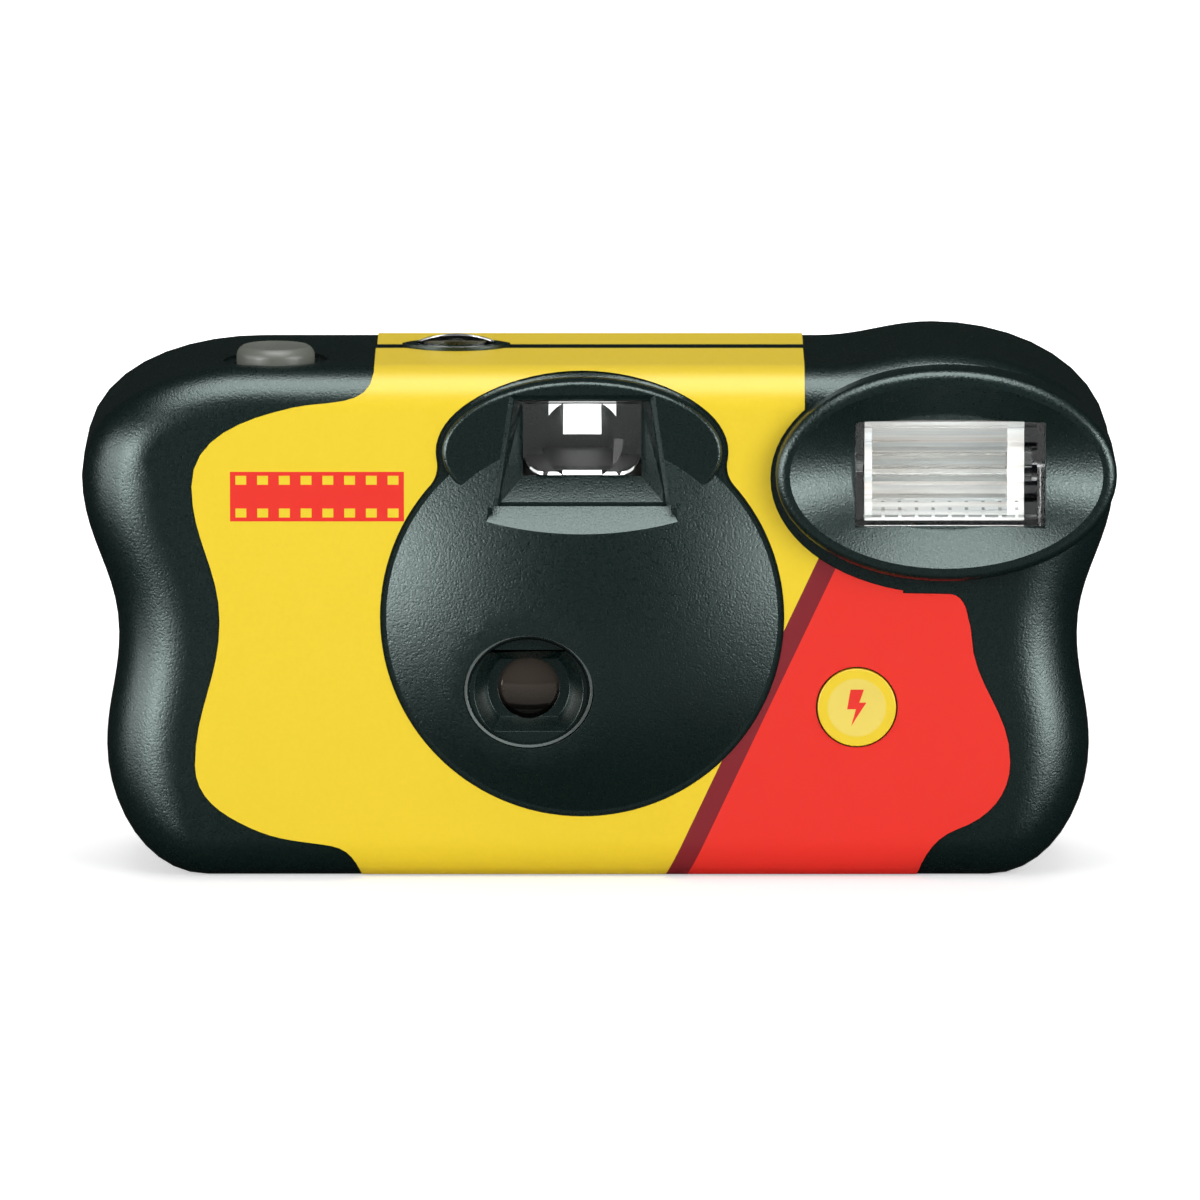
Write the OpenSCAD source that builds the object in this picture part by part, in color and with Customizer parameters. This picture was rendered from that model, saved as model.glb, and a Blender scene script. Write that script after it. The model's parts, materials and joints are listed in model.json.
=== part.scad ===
// Single-use film camera with a flash. Millimetres, +Z up, front towards -Y,
// origin on the base under the middle of the body.

/* [Body] */
// Width across the two shoulders
body_w = 124; // [123.5:0.5:136]
// Height of the flat top above the base
body_h = 61.7; // [61:0.1:68]
// Depth from the flat front to the flat back
body_d = 35; // [34.6:0.1:40]
// Depth of the front cover, face to parting line
front_d = 20; // [18.5:0.1:22]
// Wall of the two covers
wall = 1.4; // [1.2:0.05:1.5]
// Rounding of the front edges along the top and the base
edge_r = 5; // [4:0.25:6]
// Rounding of the front edges at the grips
grip_r = 9; // [7:0.25:9.5]
// Rounding of the back edges along the top and the base
back_r = 4; // [3:0.25:4.5]
// How far the waist draws in from the shoulder
waist_in = 4.4; // [3.5:0.1:4.6]
// How far the lower bulge draws in from the shoulder
belly_in = 2.9; // [2:0.1:3.2]
// Rise of the flash hump above the flat top
hump_h = 1.7; // [1:0.1:3]

/* [Lens housing] */
// Radius of the domed housing
dome_r = 23.8; // [22:0.1:25]
// Height of the dome over the front face
dome_h = 5; // [4:0.1:6]
// Radius of the flat spot round the lens
spot_r = 9.15; // [8.5:0.05:9.6]
// Rounding of the necks between the dome and the finder housing
neck_r = 4; // [2.5:0.25:6]
// Half width of the oval lens hood
hood_a = 7.7; // [7.2:0.1:7.9]
// Half height of the oval lens hood
hood_b = 6.9; // [6.6:0.1:7.4]
// Radius of the taking lens
lens_r = 4.2; // [3.8:0.1:4.6]

/* [Viewfinder] */
// Half width of the oval finder housing
finder_a = 17.1; // [15:0.1:18]
// Half height of the oval finder housing
finder_b = 9; // [8:0.1:9.3]
// Height of the finder face over the front face
finder_out = 1.2; // [0.8:0.1:1.6]
// Width of the finder opening
finder_w = 14.2; // [12:0.1:15]
// Height of the finder opening
finder_h = 9; // [8:0.1:9.4]

/* [Flash] */
// Half width of the oval flash bezel
bezel_a = 20.4; // [18.5:0.1:20.8]
// Half height of the oval flash bezel
bezel_b = 12.8; // [11.5:0.1:13]
// Height of the bezel rim over the front face
bezel_out = 3.5; // [2.5:0.1:4.5]
// Width of the flash window
flash_w = 22.6; // [20:0.2:24]
// Height of the flash window
flash_h = 12.6; // [11:0.2:13.2]
// Radius of the flash button
flash_button_r = 4.7; // [4:0.1:5]

/* [Film and wind] */
// Radius of the film cassette
cassette_r = 12.4; // [12:0.05:12.5]
// Height of the film cassette
cassette_h = 42.6; // [42:0.1:42.8]
// Radius of the thumb wheel
wheel_r = 15.8; // [15.4:0.05:16]
// Radius of the shutter button
button_r = 4.7; // [4.2:0.1:4.9]
// Travel of the shutter button
button_travel = 1.2; // [0.8:0.1:1.4]

/* [Hidden] */
$fn = 64;
label_t = 0.2;
frame_t = 1.2;
gap = 0.1;
handle = 1.17;
curve_steps = 10;
oval_steps = 72;

// Depth planes
y_f = -body_d / 2;
y_b = body_d / 2;
y_p = y_f + front_d;
y_in_f = y_f + wall;
y_in_b = y_b - wall;
film_y = y_in_b - 2.6;
cassette_y = y_in_b - 0.8 - cassette_r;
plate_y = y_f + 4.9;

// Outline of the body
hw = body_w / 2;
belly = hw - belly_in;
waist = hw - waist_in;
belly_z = 15.2;
waist_z = 28.8;
shoulder_z = body_h - 13.8;
corner_w = 12.2;
shoulder_w = 21.5;
hump_foot_x = hw - 35.5;
top_in = body_h - wall;

// Film path, chained from the left wall
cassette_x = -(waist - wall - 5.1 - cassette_r);
cassette_z = wall + 1.2;
mouth_x = cassette_r - 0.4;
film_z = cassette_z + cassette_h / 2;
film_half = cassette_h / 2 - 3.8;
row_z = film_half - 3.4;
gate_w = 36;
gate_h = 24;
gate_x = cassette_x + cassette_r + 0.9 + gate_w / 2;
supply_r = 10;
supply_x = gate_x + gate_w / 2 + 1 + frame_t + supply_r;
supply_y = film_y - 9.4;

// Deck and the wind train on it
deck_z = cassette_z + cassette_h + 0.8;
deck_top = deck_z + frame_t;
wheel_z = deck_top + 0.4;
wheel_h = 4;
sprocket_r = 5.6;
tooth_tip = 6;
sprocket_x = cassette_x + wheel_r + 2.1;
sprocket_y = film_y - 0.35 - tooth_tip;
sprocket_z = film_z + row_z;
cam_z = wheel_z + wheel_h + 1;
cam_r = 4.4;
counter_r = 7.6;
window_x = cassette_x + 21.6;
counter_y = y_p - 6.2;
counter_z = top_in - 3.7;
driver_r = norm([sprocket_x - window_x, sprocket_y - counter_y]) - counter_r - 0.4;

// Lens, dome and shutter
lens_x = gate_x - 0.9;
lens_z = film_z - 0.5;
dome_x = lens_x + 6.4;
dome_z = lens_z + 8.6;
pad_h = 0.5;
ledge = 0.35;
cap_r = dome_r - ledge;
cap_h = dome_h - pad_h;
dome_R = (cap_r * cap_r + cap_h * cap_h) / (2 * cap_h);
dome_y = y_f - dome_h + dome_R;
spot_d = dome_R - sqrt(dome_R * dome_R - spot_r * spot_r);
lens_off = norm([lens_x - dome_x, lens_z - dome_z]);
lens_lean = asin(lens_off / dome_R);
lens_turn = atan2(lens_z - dome_z, lens_x - dome_x);
hood_y = y_f - 2.1;
flange_y = plate_y - 2.4;
blade_y = plate_y - 0.9;
blade_t = 0.4;
blade_pin = [lens_x - 6.8, lens_z + 10];
striker_pin = [lens_x - 9, plate_y + 4.4];
meter_pin = [sprocket_x - 0.7, plate_y + 6.1];

// Viewfinder
finder_x = dome_x;
finder_z = body_h - 9.7;
opening_z = body_h - 8.5;
facet_z = body_h - 16.1;
facet_w = 21;
lens_w = finder_w - 0.4;
lens_h = finder_h - 0.4;
lens_corner = 2.4;
finder_back = y_f + 3.2;

// Flash
bezel_x = hw - bezel_a;
bezel_z = body_h + hump_h - bezel_b - 1.1;
flash_x = bezel_x + 0.5;
flash_z = bezel_z - 0.1;
reflector_x = flash_x - 1.2;
flash_button_x = supply_x + 8.2;
flash_button_z = 21.1;
battery_r = 7.1;
battery_x = waist - wall - 1.2 - battery_r;
battery_y = y_in_b - 1.8 - battery_r;
battery_z = 6.4;
battery_h = 49.2;
board_y = y_f + 7.2;
board_x0 = gate_x + gate_w / 2 + 3.4;
board_x1 = supply_x + 15.6;
capacitor_r = 6.1;
capacitor_x = battery_x - 1.4;
capacitor_y = y_f + 9.2;

// Shutter button
button_x = cassette_x;
button_y = y_f + 11;

// Colours
c_shell = "#16191a";
c_yellow = "#f0cf2c";
c_clear = [0.85, 0.92, 0.95, 0.45];
c_frame = "#24282a";
c_steel = "#b9bcc0";
c_brass = "#c8a24a";

// Curves through knots [x, z, heading]
function heading(a) = [cos(a), sin(a)];
function unit(v) = v / norm(v);
function at(k) = [k[0], k[1]];
function hermite(p, q, t) =
    let (a = at(p), b = at(q), m = handle * norm(b - a))
    (2 * t ^ 3 - 3 * t ^ 2 + 1) * a + (t ^ 3 - 2 * t ^ 2 + t) * m * heading(p[2])
    + (3 * t ^ 2 - 2 * t ^ 3) * b + (t ^ 3 - t ^ 2) * m * heading(q[2]);
function is_straight(p, q) =
    norm(heading(p[2]) - heading(q[2])) + norm(heading(p[2]) - unit(at(q) - at(p))) < 0.01;
function span(p, q, steps) =
    let (n = is_straight(p, q) ? 1 : steps) [for (i = [0:n - 1]) hermite(p, q, i / n)];
function closed_curve(k, steps) =
    [for (i = [0:len(k) - 1]) each span(k[i], k[(i + 1) % len(k)], steps)];
function open_curve(k, steps) =
    [for (i = [0:len(k) - 2]) each span(k[i], k[i + 1], steps), at(k[len(k) - 1])];
function inward(p) =
    let (n = len(p)) [for (i = [0:n - 1])
        let (t = unit(p[(i + 1) % n] - p[(i + n - 1) % n])) [-t[1], t[0]]];
function oval(cx, cz, a, b) =
    [for (i = [0:oval_steps - 1])
        let (t = 360 * i / oval_steps) [cx + a * cos(t), cz + b * sin(t)]];
function oval_ring(cx, cz, a, b, y) = [for (p = oval(cx, cz, a, b)) [p[0], y, p[1]]];

outline = closed_curve([
    [belly - corner_w, 0, 0],
    [belly, belly_z, 90],
    [waist, waist_z, 90],
    [hw, shoulder_z, 90],
    [hw - shoulder_w, body_h + hump_h, 180],
    [hump_foot_x, body_h, 180],
    [-(hw - shoulder_w), body_h, 180],
    [-hw, shoulder_z, 270],
    [-waist, waist_z, 270],
    [-belly, belly_z, 270],
    [-(belly - corner_w), 0, 0]
], curve_steps);
normals = inward(outline);
count = len(outline);

// Rounding radius grows from the flat edges to the grips
function front_r(i) = edge_r + (grip_r - edge_r) * normals[i][0] ^ 2;
function rear_r(i) = back_r + 2 * normals[i][0] ^ 2;
function shifted(i, inset, y) =
    [outline[i][0] + inset * normals[i][0], y, outline[i][1] + inset * normals[i][1]];
function front_ring(s, a) =
    [for (i = [0:count - 1])
        let (r = front_r(i) - s) shifted(i, s + r * (1 - cos(a)), y_f + s + r * (1 - sin(a)))];
function rear_ring(s, a) =
    [for (i = [0:count - 1])
        let (r = rear_r(i) - s) shifted(i, s + r * (1 - cos(a)), y_b - s - r * (1 - sin(a)))];
function flat_ring(s, y) = [for (i = [0:count - 1]) shifted(i, s, y)];

// Closed solid through equal rings, listed from the back to the front, with ends filled from their middles
function middle(ring) = [for (p = ring) 1] * ring / len(ring);
module loft(rings) {
    n = len(rings[0]);
    m = len(rings);
    sides = [for (r = [0:m - 2]) for (i = [0:n - 1])
        let (j = (i + 1) % n, a = r * n + i, b = r * n + j, c = a + n, d = b + n)
        each [[a, d, b], [a, c, d]]];
    last = (m - 1) * n;
    hub = m * n;
    back = [for (i = [0:n - 1]) [hub, i, (i + 1) % n]];
    front = [for (i = [0:n - 1]) [hub + 1, last + (i + 1) % n, last + i]];
    points = [for (r = rings) each r, middle(rings[0]), middle(rings[m - 1])];
    polyhedron(points, concat(back, sides, front));
}

module along_x(x0, x1) {
    translate([x0, 0, 0]) rotate([90, 0, 90]) linear_extrude(x1 - x0) children();
}

module along_y(y0, y1) {
    translate([0, y1, 0]) rotate([90, 0, 0]) linear_extrude(y1 - y0) children();
}

module box(low, high) {
    translate(low) cube(high - low);
}

module rod_x(x0, x1, y, z, r) {
    translate([x0, y, z]) rotate([0, 90, 0]) cylinder(h = x1 - x0, r = r);
}

module rod_y(x, z, y0, y1, r) {
    translate([x, y1, z]) rotate([90, 0, 0]) cylinder(h = y1 - y0, r = r);
}

module rod_z(x, y, z0, z1, r) {
    translate([x, y, z0]) cylinder(h = z1 - z0, r = r);
}

// Spring wire wound about Z
module coil(r, wire, pitch, turns) {
    n = 10;
    rings = [for (k = [0:turns * n])
        let (a = -360 * k / n, z = pitch * k / n)
        [for (i = [0:4]) let (w = 72 * i)
            [(r + wire * cos(w)) * cos(a), (r + wire * cos(w)) * sin(a), z + wire * sin(w)]]];
    loft(rings);
}

// Shell

// A cover's outside, or the room inside at a depth of s, run past the parting plane
module front_blank(s, steps) {
    loft(concat([flat_ring(s, y_p + 2 + s)], [for (k = [0:steps]) front_ring(s, 90 * k / steps)]));
}

module rear_blank(s, steps) {
    loft(concat([for (k = [steps:-1:0]) rear_ring(s, 90 * k / steps)], [flat_ring(s, y_p - 2 - s)]));
}

// Everything behind the parting plane, or before it
module past_parting(side) {
    translate([0, y_p + side * body_d / 2, body_h / 2]) cube([2 * body_w, body_d, 2 * body_h], center = true);
}

module dome_ball(r) {
    translate([dome_x, dome_y, dome_z]) sphere(r, $fn = 96);
}

// Flat spot for the lens, square to the dome
module lens_spot() {
    translate([dome_x, dome_y, dome_z]) rotate([0, -lens_turn, 0]) rotate([0, 0, lens_lean])
        rotate([90, 0, 0]) translate([0, 0, dome_R - spot_d]) cylinder(h = 6, r = spot_r + 1);
}

// Outline of dome and finder together, with rounded necks
module housing_outline(grow) {
    offset(r = grow - neck_r) offset(r = neck_r, $fn = 96) {
        translate([dome_x, dome_z]) circle(dome_r, $fn = 120);
        polygon(oval(finder_x, finder_z, finder_a, finder_b));
    }
}

module dome() {
    along_y(y_f - pad_h, y_f + 0.6) housing_outline(0);
    difference() {
        intersection() {
            dome_ball(dome_R);
            box([dome_x - dome_r, y_f - dome_h - 1, dome_z - dome_r],
                [dome_x + dome_r, y_f - pad_h, dome_z + dome_r]);
        }
        lens_spot();
        facet();
    }
}

// Slanted flat under the finder opening, flared at its ends
module facet() {
    reach = dome_h + 2;
    hull() {
        box([finder_x - facet_w / 2, y_f - finder_out, facet_z - 0.01],
            [finder_x + facet_w / 2, y_f - finder_out + 0.01, facet_z]);
        box([finder_x - facet_w / 2 - 4, y_f - finder_out - reach, facet_z - reach],
            [finder_x + facet_w / 2 + 4, y_f - finder_out - reach + 0.1, facet_z]);
    }
}

module dome_hollow() {
    intersection() {
        dome_ball(dome_R - wall);
        box([dome_x - 30, y_f - dome_h, dome_z - 30], [dome_x + 30, y_in_f + 0.5, facet_z - 4]);
    }
}

module finder_housing() {
    a = finder_a - ledge;
    b = finder_b - ledge;
    r = 0.6;
    loft(concat([oval_ring(finder_x, finder_z, a, b, finder_back)],
        [for (k = [0:6]) let (s = r * (1 - cos(15 * k)))
            oval_ring(finder_x, finder_z, a - s, b - s, y_f - finder_out + r * (1 - sin(15 * k)))]));
}

module recess_mouth(grow) {
    w = finder_w / 2 + grow;
    top = opening_z + finder_h / 2 + 0.8 + grow;
    polygon([[finder_x - w - 3, facet_z], [finder_x + w + 3, facet_z],
        [finder_x + w + 1.1, top], [finder_x - w - 1.1, top]]);
}

module finder_recess() {
    // Narrow chamfer along the sides
    hull() {
        along_y(y_f - dome_h, y_f - finder_out) recess_mouth(0.5);
        along_y(y_f - finder_out + 0.4, y_f - finder_out + 0.5) recess_mouth(0);
    }
    hull() {
        along_y(y_f - finder_out - 0.1, y_f - finder_out) recess_mouth(0);
        box([finder_x - finder_w / 2, y_f + 2.3, opening_z - finder_h / 2],
            [finder_x + finder_w / 2, y_f + 2.4, opening_z + finder_h / 2]);
    }
    box([finder_x - finder_w / 2, y_f + 2, opening_z - finder_h / 2],
        [finder_x + finder_w / 2, finder_back + 1, opening_z + finder_h / 2]);
}

module bezel(a, b, y0) {
    r = 1.2;
    loft(concat([oval_ring(bezel_x, bezel_z, a, b, y0)],
        [for (k = [0:6]) let (f = 15 * k)
            oval_ring(bezel_x, bezel_z, a - r * (1 - cos(f)), b - r * (1 - cos(f)),
                y_f - bezel_out + r * (1 - sin(f)))]));
}

// Dish inside the bezel rim, sloping in to the window and easing off at its foot
module dish() {
    deep = bezel_out + 0.6;
    loft(concat([for (k = [0:5]) let (f = 0.5 + 0.5 * k / 5)
        oval_ring(bezel_x, bezel_z, (bezel_a - 1.7) * f, (bezel_b - 1.7) * f,
            y_f + 0.6 - deep * (k / 5) ^ 1.25)],
        [oval_ring(bezel_x, bezel_z, bezel_a - 1.6, bezel_b - 1.6, y_f - bezel_out - 1)]));
}

module flash_housing() {
    difference() {
        bezel(bezel_a, bezel_b, y_f + 9);
        along_y(y_f + 2.2, y_f + 10)
            polygon(oval(bezel_x, bezel_z, bezel_a - wall, bezel_b - wall));
    }
}

module flash_opening(grow) {
    box([flash_x - flash_w / 2 - grow, y_f - 6, flash_z - flash_h / 2 - grow],
        [flash_x + flash_w / 2 + grow, y_f + 3, flash_z + flash_h / 2 + grow]);
}

// Pointed oval of the counter window, two arcs meeting at its ends
module almond(length, width, z0, z1) {
    r = (length * length + width * width) / (4 * width);
    translate([window_x, y_p, z0]) linear_extrude(z1 - z0) intersection() {
        translate([0, r - width / 2]) circle(r);
        translate([0, width / 2 - r]) circle(r);
    }
}

// Raised collar of the counter window, half on each cover
module counter_collar() {
    almond(13, 8, top_in + 0.2, body_h + 0.6);
}

module front_cover() {
    color(c_shell) difference() {
        union() {
            counter_collar();
            difference() {
                union() {
                    front_blank(0, 8);
                    dome();
                }
                front_blank(wall, 3);
                dome_hollow();
            }
            finder_housing();
            flash_housing();
        }
        finder_recess();
        // Room for the striker beside the finder
        box([finder_x - finder_a - 1, y_in_f, finder_z - 10], [finder_x - 11.4, y_f + 4, finder_z + 1]);
        dish();
        flash_opening(gap);
        along_y(y_f - 8, y_f + 3) polygon(oval(lens_x, lens_z, hood_a + gap, hood_b + gap));
        rod_y(flash_button_x, flash_button_z, y_f - 1, y_f + 3, flash_button_r + 0.15);
        rod_z(button_x, button_y, top_in - 1, body_h + 1, button_r + 0.2);
        rod_z(button_x, button_y, body_h - 0.5, body_h + 1, button_r + 1.6);
        almond(9.8, 6.2, top_in - 1, body_h + 1);
        past_parting(1);
    }
}

module rear_cover() {
    color(c_shell) difference() {
        union() {
            counter_collar();
            difference() {
                rear_blank(0, 6);
                rear_blank(wall, 3);
            }
            box([gate_x - gate_w / 2 + 2, film_y + 0.4, film_z - film_half + 0.5],
                [gate_x + gate_w / 2, y_in_b + 0.2, film_z + film_half - 0.5]);
        }
        box([finder_x - 4.1, y_b - 4, opening_z - 3.6], [finder_x + 4.1, y_b + 1, opening_z + 3.6]);
        hull() {
            box([finder_x - 5, y_b - 0.8, opening_z - 4.4], [finder_x + 5, y_b - 0.7, opening_z + 4.4]);
            box([finder_x - 6.2, y_b, opening_z - 5.4], [finder_x + 6.2, y_b + 0.1, opening_z + 5.2]);
        }
        box([cassette_x - 9.6, y_b - 4, wheel_z - 0.6],
            [cassette_x + 9.6, y_b + 1, wheel_z + wheel_h + 0.6]);
        rod_y(finder_x + 11, opening_z, y_b - 4, y_b + 1, 1.7);
        almond(9.8, 6.2, top_in - 1, body_h + 1);
        past_parting(-1);
    }
}

// Outer profile of a cover in the YZ plane, grown by g
module profile(y0, y1, r, g) {
    translate([y0 + r, -g]) square([y1 - y0 - r, body_h + 2 * g]);
    translate([y0 - g, r]) square([r + g, body_h - 2 * r]);
    translate([y0 + r, r]) circle(r + g);
    translate([y0 + r, body_h - r]) circle(r + g);
}

module label_skin(y1, r) {
    difference() {
        profile(-body_d / 2, y1, r, label_t);
        profile(-body_d / 2, y1 + 1, r, 0);
        translate([-body_d, -1]) square([2 * body_d, 1.25]);
    }
}

label_x = hw - 37.3;
front_label_edge = concat(
    open_curve([
        [belly - 21.3, -2, 80], [belly - 15.9, belly_z - 8.9, 20], [belly - 9.7, belly_z - 0.8, 90],
        [waist - 12.9, waist_z + 1, 92], [waist - 13.4, waist_z + 3.6, 100],
        [waist - 15.6, waist_z + 6, 180]], 8),
    [[waist - 21.1, waist_z + 6.1], [waist - 21.1, bezel_z], [label_x, bezel_z],
        [label_x, body_h + 3], [-label_x - 1.9, body_h + 3]],
    open_curve([
        [-label_x - 2.1, body_h - 0.4, 262], [-label_x - 11.9, body_h - 4.4, 193],
        [-hw + 13.4, shoulder_z - 0.1, 270], [-waist + 12.3, waist_z + 2.7, 270],
        [-belly + 10.8, belly_z - 1.2, 270], [-belly + 17.4, belly_z - 8.8, 335],
        [-belly + 27.1, belly_z - 11, 350], [-belly + 31.4, -2, 285]], 8));

module front_label() {
    color(c_yellow) difference() {
        intersection() {
            along_x(-hw, hw) label_skin(y_p - 0.5, edge_r);
            along_y(y_f - 2, y_p) polygon(front_label_edge);
        }
        along_y(y_f - 2, finder_back) housing_outline(0.4);
        along_y(y_f - 2, y_f + 9) polygon(oval(bezel_x, bezel_z - 0.7, bezel_a + 0.6, bezel_b + 1.2));
        rod_y(flash_button_x, flash_button_z, y_f - 2, y_f + 1, flash_button_r + 0.2);
        almond(13.8, 8.6, top_in, body_h + 2);
    }
}

rear_label_edge = concat(
    open_curve([[belly - 20.1, -2, 90], [belly - 13.1, belly_z - 6.2, 60],
        [belly - 10.5, belly_z + 4.8, 110], [waist - 13.6, waist_z + 7.2, 120],
        [label_x + 7.3, shoulder_z - 3.9, 150], [label_x + 0.3, body_h - 9.7, 90],
        [label_x, body_h + 3, 90]], 6),
    open_curve([[-label_x - 1.9, body_h + 3, 270], [-label_x - 2.7, body_h - 10.7, 265],
        [-label_x - 9.3, shoulder_z - 4.4, 195], [-waist + 13.6, waist_z + 8.2, 250],
        [-waist + 11.2, waist_z - 2.8, 270], [-belly + 13.1, belly_z - 5.2, 290],
        [-belly + 21.1, -2, 300]], 6));

module rear_label() {
    color(c_yellow) difference() {
        intersection() {
            mirror([0, 1, 0]) along_x(-hw, hw) label_skin(-y_p - 0.5, back_r);
            along_y(y_p, y_b + 2) polygon(rear_label_edge);
        }
        box([finder_x - 7, y_b - 1, opening_z - 6.2], [finder_x + 7, y_b + 2, opening_z + 6]);
        rod_y(finder_x + 11, opening_z, y_b - 1, y_b + 2, 2.2);
        almond(13.8, 8.6, top_in, body_h + 2);
    }
}

module counter_window() {
    color(c_clear) union() {
        intersection() {
            almond(9.4, 5.8, top_in - 1, body_h + 3);
            translate([window_x, y_p, body_h + 1.6 - 14]) sphere(14);
        }
        almond(12.4, 8.4, top_in - 1, top_in - 0.1);
    }
}

// Viewfinder

module lens_face() {
    translate([finder_x, opening_z]) hull() {
        for (s = [-1, 1]) translate([s * (lens_w / 2 - lens_corner), lens_corner - lens_h / 2])
            circle(lens_corner, $fn = 32);
        translate([-lens_w / 2, 0]) square([lens_w, lens_h / 2]);
    }
}

module finder_front_lens() {
    color(c_clear) difference() {
        union() {
            along_y(y_f + 2, finder_back + 2) lens_face();
            box([finder_x - 8.4, finder_back + gap, opening_z - 2.6],
                [finder_x + 8.4, finder_back + 1.1, opening_z + 5.2]);
        }
        translate([finder_x, y_f + 2 - 13, opening_z]) sphere(13.9);
    }
}

module finder_eyepiece() {
    color(c_clear) union() {
        box([finder_x - 3.9, y_b - 1.6, opening_z - 3.4], [finder_x + 3.9, y_in_b, opening_z + 3.4]);
        box([finder_x - 5.4, y_in_b - 1.2, opening_z - 4.6], [finder_x + 5.4, y_in_b - gap, opening_z + 4.6]);
    }
}

// Frame, lens and shutter

module c_wall(x, y, r, x0, y1) {
    intersection() {
        difference() {
            rod_z(x, y, wall, deck_top, r + frame_t);
            rod_z(x, y, wall - 1, deck_z + 5, r);
        }
        box([x0, y - r - 5, wall], [x + r + 5, y1, deck_top]);
    }
}

module chamber(grow, over) {
    hull() {
        box([lens_x - 4.5 - grow, plate_y + frame_t - 0.6 - over, lens_z - 4.5 - grow],
            [lens_x + 4.5 + grow, plate_y + frame_t, lens_z + 4.5 + grow]);
        box([gate_x - gate_w / 2 - grow, film_y - 1, film_z - gate_h / 2 - grow],
            [gate_x + gate_w / 2 + grow, film_y - 0.4 + over, film_z + gate_h / 2 + grow]);
    }
}

module main_frame() {
    color(c_frame) difference() {
        union() {
            box([cassette_x - 17.4, plate_y, deck_z], [supply_x + supply_r + frame_t, film_y, deck_top]);
            box([lens_x - 14, plate_y, lens_z - 11], [lens_x + 12, plate_y + frame_t, deck_top]);
            box([gate_x - gate_w / 2 - 0.9, film_y - 1.9, film_z - film_half - 1.5],
                [gate_x + gate_w / 2 + 1.4, film_y - 0.4, deck_z + 0.2]);
            box([supply_x - supply_r - frame_t, supply_y - 1, wall],
                [supply_x - supply_r, film_y - 0.4, deck_z + 0.2]);
            c_wall(cassette_x, cassette_y, cassette_r + 0.6, cassette_x - 8.5, cassette_y + 4);
            c_wall(supply_x, supply_y, supply_r, supply_x - 12, supply_y + 4);
            chamber(0.8, 0);
            rod_y(blade_pin[0], blade_pin[1], blade_y - 1.4, plate_y + 0.2, 1);
            for (p = [[6.9, -4.6], [6.9, 4.6], [0, -8.1]])
                rod_y(lens_x + p[0], lens_z + p[1], flange_y - 1, plate_y + 0.2, 0.9);
            rod_z(window_x, counter_y, deck_z, counter_z + 1.8, 1.2);
            rod_z(meter_pin[0], meter_pin[1], deck_z, cam_z + 2.2, 1.2);
            rod_z(striker_pin[0], striker_pin[1], deck_z, deck_top + 5.4, 1.2);
            box([lens_x - 14, blade_y - 0.8, lens_z + 16], [lens_x - 12.6, plate_y + 0.2, lens_z + 18]);
        }
        chamber(0, 1);
        // Room for the flash in front of the supply chamber
        box([bezel_x - bezel_a - 0.6, plate_y - 1, deck_z - 1],
            [supply_x + supply_r + frame_t + 1, y_f + 11, deck_top + 1]);
        rod_y(lens_x, lens_z, plate_y - 1, plate_y + frame_t + 1, 3.4);
        rod_z(cassette_x, cassette_y, deck_z - 1, deck_top + 1, 6.6);
        rod_z(sprocket_x, sprocket_y, deck_z - 1, deck_top + 1, 1.56);
        rod_z(supply_x, supply_y, deck_z - 1, deck_top + 1, 2.06);
        rod_z(sprocket_x, sprocket_y, sprocket_z - 1.6, sprocket_z + 1.6, tooth_tip + 0.4);
    }
}

module lens_hood() {
    color("#1c2022") difference() {
        union() {
            along_y(hood_y, flange_y) polygon(oval(lens_x, lens_z, hood_a, hood_b));
            rod_y(lens_x, lens_z, flange_y - 1, flange_y, 9.6);
        }
        // Groove inside the rim
        along_y(hood_y - 1, hood_y + 0.3) difference() {
            polygon(oval(lens_x, lens_z, hood_a - 0.35, hood_b - 0.35));
            polygon(oval(lens_x, lens_z, hood_a - 0.65, hood_b - 0.65));
        }
        // Sloped sides and flats of the opening
        intersection() {
            translate([lens_x, hood_y + 2.4, lens_z]) rotate([90, 0, 0])
                cylinder(h = 2.5, r1 = 4.9, r2 = 6.6);
            along_x(lens_x - 9, lens_x + 9) polygon([
                [hood_y + 2.4, lens_z - 3.5], [hood_y - 0.1, lens_z - 5],
                [hood_y - 0.1, lens_z + 5], [hood_y + 2.4, lens_z + 3.5]]);
        }
        rod_y(lens_x, lens_z, hood_y + 2, flange_y + 1, lens_r - 0.5);
        rod_y(lens_x, lens_z, flange_y - 2, flange_y + 1, lens_r + 0.05);
        for (p = [[6.9, -4.6], [6.9, 4.6], [0, -8.1]])
            rod_y(lens_x + p[0], lens_z + p[1], flange_y - 2, flange_y + 1, 0.95);
    }
}

module taking_lens() {
    color(c_clear) difference() {
        intersection() {
            rod_y(lens_x, lens_z, flange_y - 1.95, flange_y, lens_r);
            translate([lens_x, flange_y - 1.95 + 12, lens_z]) sphere(12, $fn = 96);
        }
        translate([lens_x, flange_y + 9.5, lens_z]) sphere(10, $fn = 96);
    }
}

module shutter_blade() {
    color("#2b2d2e") difference() {
        union() {
            rod_y(lens_x, lens_z, blade_y - blade_t, blade_y, 4.3);
            rod_y(blade_pin[0], blade_pin[1], blade_y - blade_t, blade_y, 2.4);
            along_y(blade_y - blade_t, blade_y) polygon([
                [blade_pin[0] - 1.2, blade_pin[1] - 2], [lens_x - 3.6, lens_z + 2],
                [lens_x + 1.4, lens_z + 4], [blade_pin[0] + 2, blade_pin[1] + 1]]);
            box([blade_pin[0] - 0.8, blade_y - blade_t, blade_pin[1]],
                [blade_pin[0] + 0.8, blade_y, deck_top + 2]);
        }
        rod_y(blade_pin[0], blade_pin[1], blade_y - 3, blade_y + 1, 1.05);
    }
}

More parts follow.
